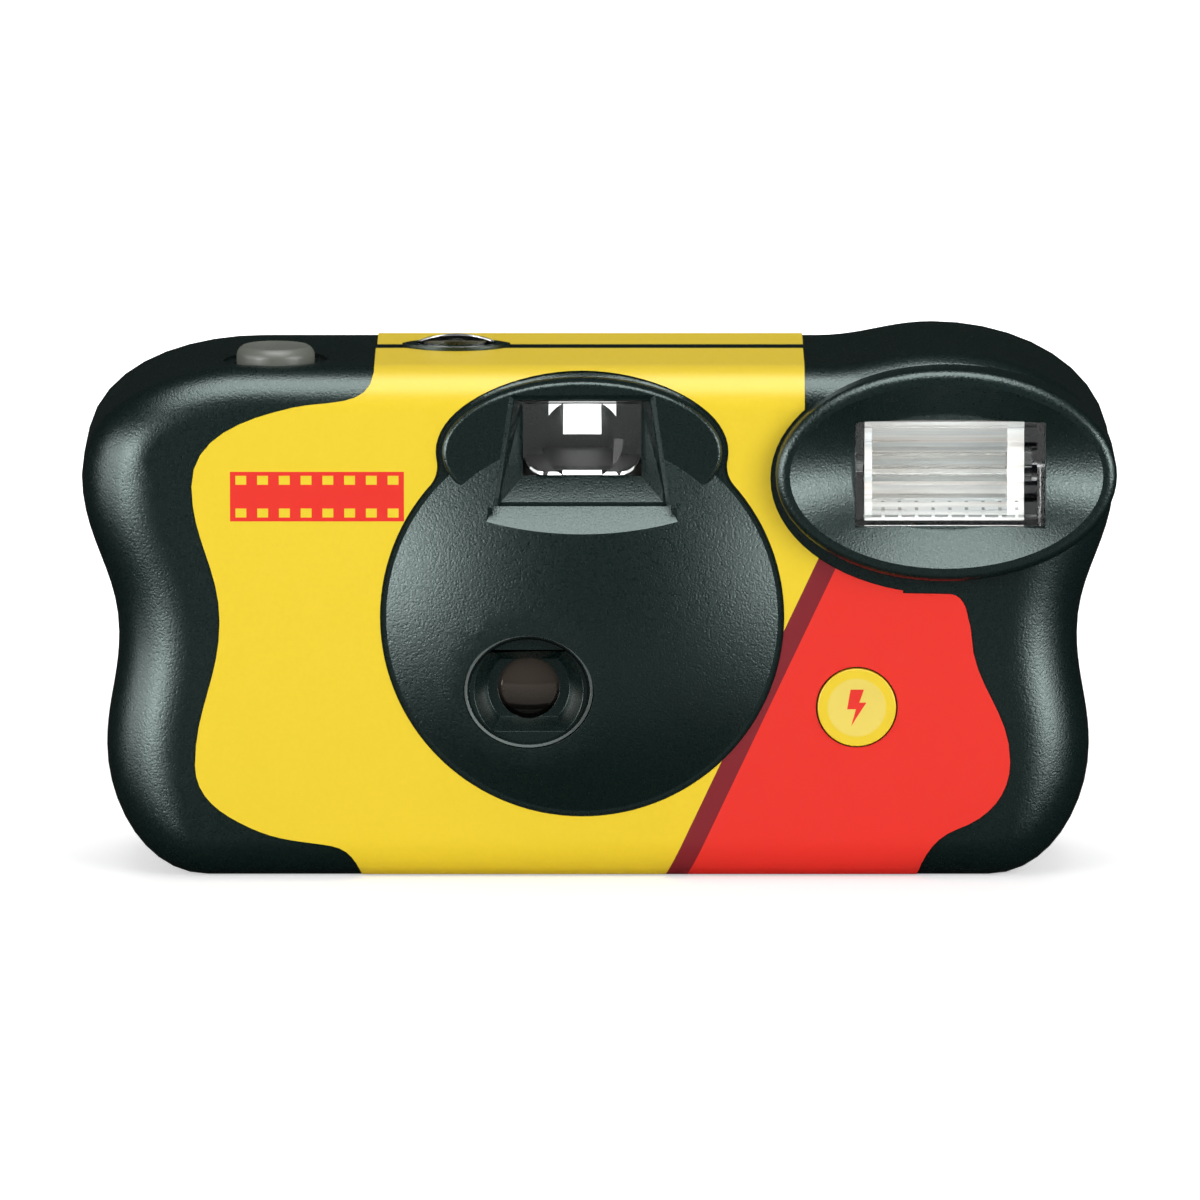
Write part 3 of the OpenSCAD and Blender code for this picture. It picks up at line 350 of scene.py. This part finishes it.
def clear_plastic(name, roughness, tint=CLEAR_TINT):
    """Clear moulded plastic with faint flow marks."""
    material, tree, shader, place = start_material(name)
    set_shader(shader, Base_Color=tint, IOR=1.49, Transmission_Weight=1.0)
    flow = noise(tree, place, 4 * MM)
    set_roughness(tree, shader, flow, roughness, roughness * 2)
    add_bump(tree, shader, flow, 0.006 * MM)
    return material


def film_motif(tree, place):
    """1 on a strip of film with a row of holes along each edge, on the front only."""
    across, depth, up = axes_from(tree, place, FILM_MOTIF_CENTRE)
    width, height = FILM_MOTIF_SIZE
    strip = both(tree, within(tree, across, width / 2), within(tree, up, height / 2))
    pitch = width / FILM_MOTIF_HOLES
    along = maths(tree, "PINGPONG", across, pitch / 2)
    columns = maths(tree, "GREATER_THAN", along, pitch * HOLE_GAP)
    edge = maths(tree, "SUBTRACT", maths(tree, "ABSOLUTE", up), height * HOLE_ROW)
    rows = within(tree, edge, height * HOLE_HALF_HEIGHT)
    solid = maths(tree, "SUBTRACT", strip, both(tree, strip, both(tree, columns, rows)))
    return both(tree, solid, maths(tree, "LESS_THAN", depth, 0.0))


def printed_label():
    """Glossy card printed yellow, with a film motif and a red corner behind a slanted dark red stripe, and
    a painted dark band of shade along the covers' seam.
    """
    material, tree, shader, place = start_material("printed_label")
    set_shader(shader, Specular_IOR_Level=0.4)
    across, behind, up = axes_from(tree, place, (0, PARTING, 0))
    slant = maths(tree, "MULTIPLY_ADD", up, -LABEL_SLANT, across)
    fibre = noise(tree, place, 0.6 * MM, FINE_DETAIL)
    paper = uneven(tree, fibre, YELLOW, 0.97, 1.03)
    printed = blend_colours(tree, film_motif(tree, place), paper, RED)
    stripe = blend_colours(tree, maths(tree, "GREATER_THAN", slant, STRIPE_START), printed, DARK_RED)
    corner = blend_colours(tree, maths(tree, "GREATER_THAN", slant, STRIPE_END), stripe, RED)
    # Painted shade: a black band along the parting plane, where the step between the covers lies in shade
    seam_shaded = blend_colours(tree, within(tree, behind, SEAM_PAINTED_SHADE), corner, BLACK_PLASTIC)
    set_colour(tree, shader, seam_shaded)
    set_roughness(tree, shader, fibre, 0.34, 0.42)
    add_bump(tree, shader, noise(tree, place, 2 * MM), 0.01 * MM)
    return material


def hood_plastic():
    """Smooth black plastic, with a painted grey highlight along the oval rim."""
    material, tree, shader, place = start_material("hood_plastic")
    set_shader(shader, Specular_Tint=BLACK_SHEEN, Specular_IOR_Level=0.7)
    across, _, up = axes_from(tree, place, LENS_CENTRE)
    _, depth, _ = axes_from(tree, place, (0, HOOD_FACE, 0))
    oval_across = maths(tree, "DIVIDE", across, HOOD_HALF_WIDTH)
    oval_up = maths(tree, "DIVIDE", up, HOOD_HALF_HEIGHT)
    outer = maths(tree, "GREATER_THAN", radius_of(tree, oval_across, oval_up), HOOD_RIM_START)
    rim = both(tree, outer, maths(tree, "LESS_THAN", depth, HOOD_RIM_DEPTH))
    black = uneven(tree, noise(tree, place, 2 * MM), BLACK_PLASTIC, 0.8, 1.2)
    # Painted highlight: the rim is coloured grey instead of black
    set_colour(tree, shader, blend_colours(tree, rim, black, RIM_PAINTED_HIGHLIGHT))
    fine = noise(tree, place, 0.2 * MM)
    set_roughness(tree, shader, fine, 0.24, 0.34)
    add_bump(tree, shader, fine, 0.004 * MM)
    return material


def key_plastic():
    """Yellow plastic of the flash button, with a painted paler sheen in its dish."""
    material, tree, shader, place = start_material("key_plastic")
    across, _, up = axes_from(tree, place, KEY_CENTRE)
    out = radius_of(tree, across, up)
    # Painted sheen: the dish is coloured a paler yellow
    dish = spread(tree, out, 1.0, 0.0, KEY_DISH_RADIUS - KEY_DISH_BLEND, KEY_DISH_RADIUS + KEY_DISH_BLEND)
    painted_sheen = uneven(tree, noise(tree, place, 4 * MM), DISH_SHEEN_YELLOW, 1.0, 0.96)
    set_colour(tree, shader, blend_colours(tree, dish, YELLOW, painted_sheen))
    fine = noise(tree, place, 0.4 * MM)
    set_roughness(tree, shader, fine, 0.3, 0.42)
    add_bump(tree, shader, fine, 0.006 * MM)
    return material


def counter_dial():
    """White dial with a mark for each frame, a longer one at every fifth."""
    material, tree, shader, place = start_material("counter_dial")
    across, depth, _ = axes_from(tree, place, COUNTER_CENTRE)
    out = radius_of(tree, across, depth)
    turn = maths(tree, "ARCTAN2", across, depth)

    def marks(number, half_width, inner):
        beside = maths(tree, "PINGPONG", turn, math.tau / number / 2)
        thin = maths(tree, "LESS_THAN", beside, half_width)
        return both(tree, thin, maths(tree, "GREATER_THAN", out, COUNTER_RADIUS * inner))

    short = marks(COUNTER_MARKS, *SHORT_MARK)
    long = marks(COUNTER_MARKS // MARKS_FOR_EACH_LONG_ONE, *LONG_MARK)
    ink = maths(tree, "MAXIMUM", short, long)
    cloud = noise(tree, place, 3 * MM)
    white = blend_colours(tree, cloud, DIAL_SHADE, DIAL_WHITE)
    set_colour(tree, shader, blend_colours(tree, ink, white, BLACK_PLASTIC))
    set_roughness(tree, shader, cloud, 0.35, 0.5)
    return material


def bright_reflector():
    """Pressed bright sheet, drawn along its length, with warm and cool streaks."""
    material, tree, shader, place = start_material("bright_reflector")
    set_shader(shader, Metallic=0.35, Specular_IOR_Level=0.6)
    stretch = tree.nodes.new("ShaderNodeMapping")
    stretch.inputs["Scale"].default_value = STREAK_STRETCH
    tree.links.new(place, stretch.inputs["Vector"])
    drawn = noise(tree, stretch.outputs["Vector"], 0.9 * MM, FINE_DETAIL)
    broad = noise(tree, stretch.outputs["Vector"], 2.4 * MM)
    tint = blend_colours(tree, spread(tree, broad, 0.0, 1.0, 0.35, 0.65), WARM_METAL, COOL_METAL)
    streaks = blend_colours(tree, spread(tree, drawn, 0.0, 1.0, 0.4, 0.7), tint, BRIGHT_METAL)
    set_colour(tree, shader, streaks)
    set_roughness(tree, shader, drawn, 0.25, 0.45)
    add_bump(tree, shader, drawn, 0.02 * MM)
    return material


def taking_lens_glass():
    """Coated lens, dark against the closed shutter, with a painted warm reflection in its upper half."""
    material, tree, shader, place = start_material("taking_lens_glass")
    set_shader(shader, IOR=1.6, Specular_Tint=LENS_COATING, Specular_IOR_Level=0.9)
    _, _, up = axes_from(tree, place, LENS_CENTRE)
    # Painted reflection: a warm colour fading in towards the lens's upper half
    painted_reflection_share = spread(tree, up, 0.0, 1.0, LENS_REFLECTION_LOW, LENS_REFLECTION_HIGH)
    set_colour(tree, shader, blend_colours(tree, painted_reflection_share, LENS_DARK, LENS_PAINTED_REFLECTION))
    set_roughness(tree, shader, noise(tree, place, 3 * MM), 0.04, 0.08)
    return material


def finder_glass():
    """Thin clear finder lens with little reflection of its own."""
    material, tree, shader, place = start_material("finder_glass")
    set_shader(shader, Base_Color=FINDER_CLEAR, IOR=1.34, Transmission_Weight=1.0)
    set_roughness(tree, shader, noise(tree, place, 4 * MM), 0.0, 0.012)
    return material


def printed_red():
    """Red ink of the bolt."""
    material, tree, shader, place = start_material("printed_red")
    cloud = noise(tree, place, 1 * MM)
    set_colour(tree, shader, uneven(tree, cloud, RED, 0.96, 1.04))
    set_roughness(tree, shader, cloud, 0.35, 0.45)
    return material


def frosted_plastic():
    """Milky see-through plastic of the shutter button."""
    material, tree, shader, place = start_material("frosted_plastic")
    set_shader(shader, Transmission_Weight=0.3, IOR=1.45)
    cloud = noise(tree, place, 3 * MM)
    set_colour(tree, shader, blend_colours(tree, cloud, FROST_DARK, FROST_PALE))
    fine = noise(tree, place, 0.3 * MM)
    set_roughness(tree, shader, fine, 0.32, 0.45)
    add_bump(tree, shader, fine, 0.012 * MM)
    return material


# Finish of each material slot
FINISHES = {
    "shell": moulded_plastic("shell_plastic", BLACK_PLASTIC, 0.31, 0.26 * MM, 0.05 * MM, BLACK_SHEEN, 0.75),
    "label": printed_label(),
    "clear": clear_plastic("clear_plastic", 0.01),
    "frosted": frosted_plastic(),
    "frame": moulded_plastic("frame_plastic", (0.005, 0.0075, 0.0075, 1), 0.6, gloss=0.1),
    "hood": hood_plastic(),
    "lever": moulded_plastic("lever_plastic", (0.035, 0.038, 0.042, 1), 0.45),
    "blade": moulded_plastic("blackened_blade", BLADE_BLACK, 0.6, 0.4 * MM, 0.004 * MM, gloss=0.1),
    "spring": metal("spring_steel", (0.55, 0.55, 0.56, 1), 0.28),
    "can": metal("painted_can", (0.03, 0.035, 0.045, 1), 0.4),
    "tin": metal("tinplate", (0.62, 0.63, 0.64, 1), 0.3),
    "white": moulded_plastic("white_plastic", (0.72, 0.70, 0.64, 1), 0.42),
    "film": moulded_plastic("film_base", (0.06, 0.028, 0.018, 1), 0.18, 0.4 * MM, 0.003 * MM),
    "reflector": bright_reflector(),
    "tube": clear_plastic("flash_glass", 0.02),
    "board": moulded_plastic("board_laminate", (0.02, 0.12, 0.035, 1), 0.4),
    "parts": moulded_plastic("component_bodies", (0.20, 0.085, 0.028, 1), 0.4),
    "winding": moulded_plastic("wound_tape", (0.28, 0.16, 0.03, 1), 0.45),
    "sleeve": moulded_plastic("shrink_sleeve", (0.016, 0.019, 0.026, 1), 0.3),
    "cell": moulded_plastic("cell_jacket", (0.06, 0.07, 0.085, 1), 0.25),
    "brass": metal("spring_brass", (0.62, 0.43, 0.14, 1), 0.3),
    "key": key_plastic(),
    "lamp": clear_plastic("lamp_glass", 0.05, (0.95, 0.55, 0.25, 1)),
    "pipe": clear_plastic("light_pipe", 0.08, (0.95, 0.50, 0.18, 1)),
}

# Pieces with a finish of their own within their slot
FINDER_GLASS = finder_glass()
OWN_FINISH = {
    "counter_wheel": counter_dial(),
    "taking_lens": taking_lens_glass(),
    "finder_front_lens": FINDER_GLASS,
    "finder_eyepiece": FINDER_GLASS,
}

slot_of_node = {part["node"]: part["material_slot"] for part in frame["record"]["subparts"]}


def body_of_node(node):
    return frame["nodes"][node]["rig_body"]


def dressed(node, crease, rounding):
    """A merged copy of a CAD node with smooth faces, and soft edges if it has a rounding, in its place."""
    source = frame["nodes"][node]
    piece = bpy.data.objects.new(node + "_finished", source.data.copy())
    bpy.context.scene.collection.objects.link(piece)
    select_only(piece)
    bpy.ops.mesh.customdata_custom_splitnormals_clear()
    bpy.ops.object.mode_set(mode="EDIT")
    bpy.ops.mesh.select_all(action="SELECT")
    bpy.ops.mesh.remove_doubles(threshold=MERGE_REACH)
    bpy.ops.mesh.dissolve_degenerate(threshold=SLIVER_REACH)
    if rounding:
        bpy.ops.mesh.dissolve_limited(angle_limit=FLAT_ANGLE)
    bpy.ops.object.mode_set(mode="OBJECT")
    bpy.ops.object.shade_smooth_by_angle(angle=math.radians(crease))
    if rounding:
        bevel = piece.modifiers.new("soft_edges", "BEVEL")
        bevel.width = rounding
        bevel.segments = SOFT_EDGE_STEPS
        bevel.limit_method = "ANGLE"
        bevel.angle_limit = math.radians(crease)
        bevel.use_clamp_overlap = True
        bpy.ops.object.modifier_apply(modifier=bevel.name)
    normals = piece.modifiers.new("even_normals", "WEIGHTED_NORMAL")
    normals.keep_sharp = True
    bpy.ops.object.modifier_apply(modifier=normals.name)
    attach(piece, body_of_node(node))
    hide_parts(node)
    return piece


def finish_piece(piece, slot, material=None):
    """Gives a piece the finish of its slot, or a finish of its own."""
    piece.data.materials.clear()
    piece.data.materials.append(material or FINISHES[slot])


pieces = {}
for name in frame["nodes"]:
    crease = COIL_CREASE if name in COILS else CREASE
    rounding = SOFT_EDGE if name in SOFT_EDGED else 0
    pieces[name] = dressed(name, crease, rounding)
    finish_piece(pieces[name], slot_of_node[name], OWN_FINISH.get(name))

# Light for the reflector passes the flash window
pieces["flash_window"].visible_shadow = False


def bolt_print():
    """A bolt printed in the dish of the flash button."""
    bpy.ops.object.select_all(action="DESELECT")
    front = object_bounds()[0].y
    bpy.ops.mesh.primitive_circle_add(vertices=len(BOLT_OUTLINE), radius=MM, fill_type="NGON")
    bolt = bpy.context.object
    bolt.name = "bolt_print"
    for vertex, (across, up) in zip(bolt.data.vertices, BOLT_OUTLINE):
        vertex.co = (KEY_CENTRE[0] + across * MM, front, KEY_CENTRE[2] + up * MM)
    bpy.ops.object.mode_set(mode="EDIT")
    bpy.ops.mesh.select_all(action="SELECT")
    bpy.ops.mesh.quads_convert_to_tris(ngon_method="BEAUTY")
    bpy.ops.mesh.subdivide(number_cuts=BOLT_CUTS)
    bpy.ops.object.mode_set(mode="OBJECT")
    wrap = bolt.modifiers.new("onto_dish", "SHRINKWRAP")
    wrap.target = pieces["flash_button"]
    wrap.wrap_method = "PROJECT"
    wrap.use_project_y = True
    wrap.use_positive_direction = True
    wrap.use_negative_direction = False
    bpy.ops.object.modifier_apply(modifier=wrap.name)
    ink = bolt.modifiers.new("ink", "SOLIDIFY")
    ink.thickness = INK_THICKNESS
    ink.offset = 0
    bpy.ops.object.modifier_apply(modifier=ink.name)
    bpy.ops.object.mode_set(mode="EDIT")
    bpy.ops.mesh.select_all(action="SELECT")
    bpy.ops.mesh.normals_make_consistent(inside=False)
    bpy.ops.object.mode_set(mode="OBJECT")
    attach(bolt, body_of_node("flash_button"))
    finish_piece(bolt, "label", printed_red())


def pale_floor():
    """A floor that is white to the eye, keeps the shadow and stays out of reflections."""
    bpy.ops.object.select_all(action="DESELECT")
    bpy.ops.mesh.primitive_plane_add(size=FLOOR_SIZE, location=(0, 0, cad_box[0].z - FLOOR_DROP))
    floor = bpy.context.object
    floor.name = "floor"
    material, tree, shader, place = start_material("floor_white")
    set_shader(shader, Base_Color=FLOOR_GREY, Roughness=0.9, Specular_IOR_Level=0.0, Emission_Color=WHITE)
    rays = tree.nodes.new("ShaderNodeLightPath")
    seen = maths(tree, "MAXIMUM", rays.outputs["Is Camera Ray"], rays.outputs["Is Transmission Ray"])
    length = tree.nodes.new("ShaderNodeVectorMath")
    length.operation = "LENGTH"
    tree.links.new(place, length.inputs[0])
    far = spread(tree, length.outputs["Value"], FLOOR_NEAR_GLOW, 1.0, FLOOR_NEAR, FLOOR_FAR)
    tree.links.new(both(tree, seen, far), shader.inputs["Emission Strength"])
    floor.data.materials.append(material)
    floor.visible_glossy = False
    floor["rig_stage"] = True


def softbox(name, place, aim, width, height, watts, matt=True, gloss=True):
    """A soft lamp that lights matt faces, or shows in glossy ones, or both."""
    data = bpy.data.lights.new(name, "AREA")
    data.shape = "RECTANGLE"
    data.size = width
    data.size_y = height
    data.energy = watts
    lamp = bpy.data.objects.new(name, data)
    bpy.context.scene.collection.objects.link(lamp)
    lamp.location = place
    lamp.rotation_euler = (Vector(aim) - Vector(place)).to_track_quat("-Z", "Y").to_euler()
    lamp.visible_camera = False
    lamp.visible_diffuse = matt
    lamp.visible_glossy = gloss


def white_surround():
    """White to the eye and through clear plastic, dim to matt faces and near black in reflections."""
    world = bpy.data.worlds.new("studio")
    bpy.context.scene.world = world
    world.use_nodes = True
    tree = world.node_tree
    background = tree.nodes["Background"]
    background.inputs["Color"].default_value = WHITE
    rays = tree.nodes.new("ShaderNodeLightPath")
    level = tree.nodes.new("ShaderNodeValue")
    level.outputs["Value"].default_value = SURROUND_MATT
    strength = level.outputs["Value"]
    brightness_to = {"Is Glossy Ray": SURROUND_GLOSS, "Is Transmission Ray": 1.0, "Is Camera Ray": 1.0}
    for ray, brightness in brightness_to.items():
        mix = tree.nodes.new("ShaderNodeMix")
        mix.data_type = "FLOAT"
        tree.links.new(rays.outputs[ray], mix.inputs["Factor"])
        tree.links.new(strength, mix.inputs["A"])
        mix.inputs["B"].default_value = brightness
        strength = mix.outputs["Result"]
    tree.links.new(strength, background.inputs["Strength"])


def studio_light():
    """Lamps for gloss first, then lamps for matt faces; places and sizes in metres, then watts."""
    middle = (0, -0.01, 0.03)
    softbox("overhead", (0, -0.25, 0.75), middle, 0.7, 0.7, 9.2, matt=False)
    softbox("left_strip", (-0.79, -0.42, 0.12), middle, 1.1, 0.45, 6.6, matt=False)
    softbox("left_near", (-0.68, -0.59, 0.08), middle, 0.30, 0.40, 2.9, matt=False)
    softbox("right_strip", (0.77, -0.47, 0.12), middle, 0.66, 0.45, 3.3, matt=False)
    softbox("right_near", (0.73, -0.53, 0.12), middle, 0.32, 0.45, 3.1, matt=False)
    softbox("table", (0, -0.14, 0.002), (0, -0.14, 1), 0.4, 0.18, 0.04, matt=False)
    softbox("left_fill", (-0.7, -0.7, 0.35), middle, 0.6, 0.6, 4.3, gloss=False)
    softbox("right_fill", (0.7, -0.7, 0.35), middle, 0.6, 0.6, 5.8, gloss=False)
    softbox("top_fill", (0, 0.05, 0.8), middle, 0.6, 0.6, 1.6, gloss=False)
    softbox("back_fill", (0, 0.9, 0.45), middle, 0.9, 0.6, 5.0, gloss=False)


def photograph_view():
    """The camera, at the photograph's angle and scale."""
    data = bpy.data.cameras.new("view")
    camera = bpy.data.objects.new("view", data)
    bpy.context.scene.collection.objects.link(camera)
    back = Vector((0, -math.cos(VIEW_LIFT), math.sin(VIEW_LIFT)))
    camera.location = Vector(VIEW_AIM) + back * VIEW_DISTANCE
    camera.rotation_euler = (-back).to_track_quat("-Z", "Y").to_euler()
    data.sensor_width = SENSOR
    data.lens = SENSOR * VIEW_DISTANCE * PIXELS_PER_MM / (FRAME_PIXELS * MM)
    data.clip_end = VIEW_REACH
    bpy.context.scene.camera = camera


bolt_print()
pale_floor()
white_surround()
studio_light()
photograph_view()
bpy.context.scene.view_settings.view_transform = "Standard"
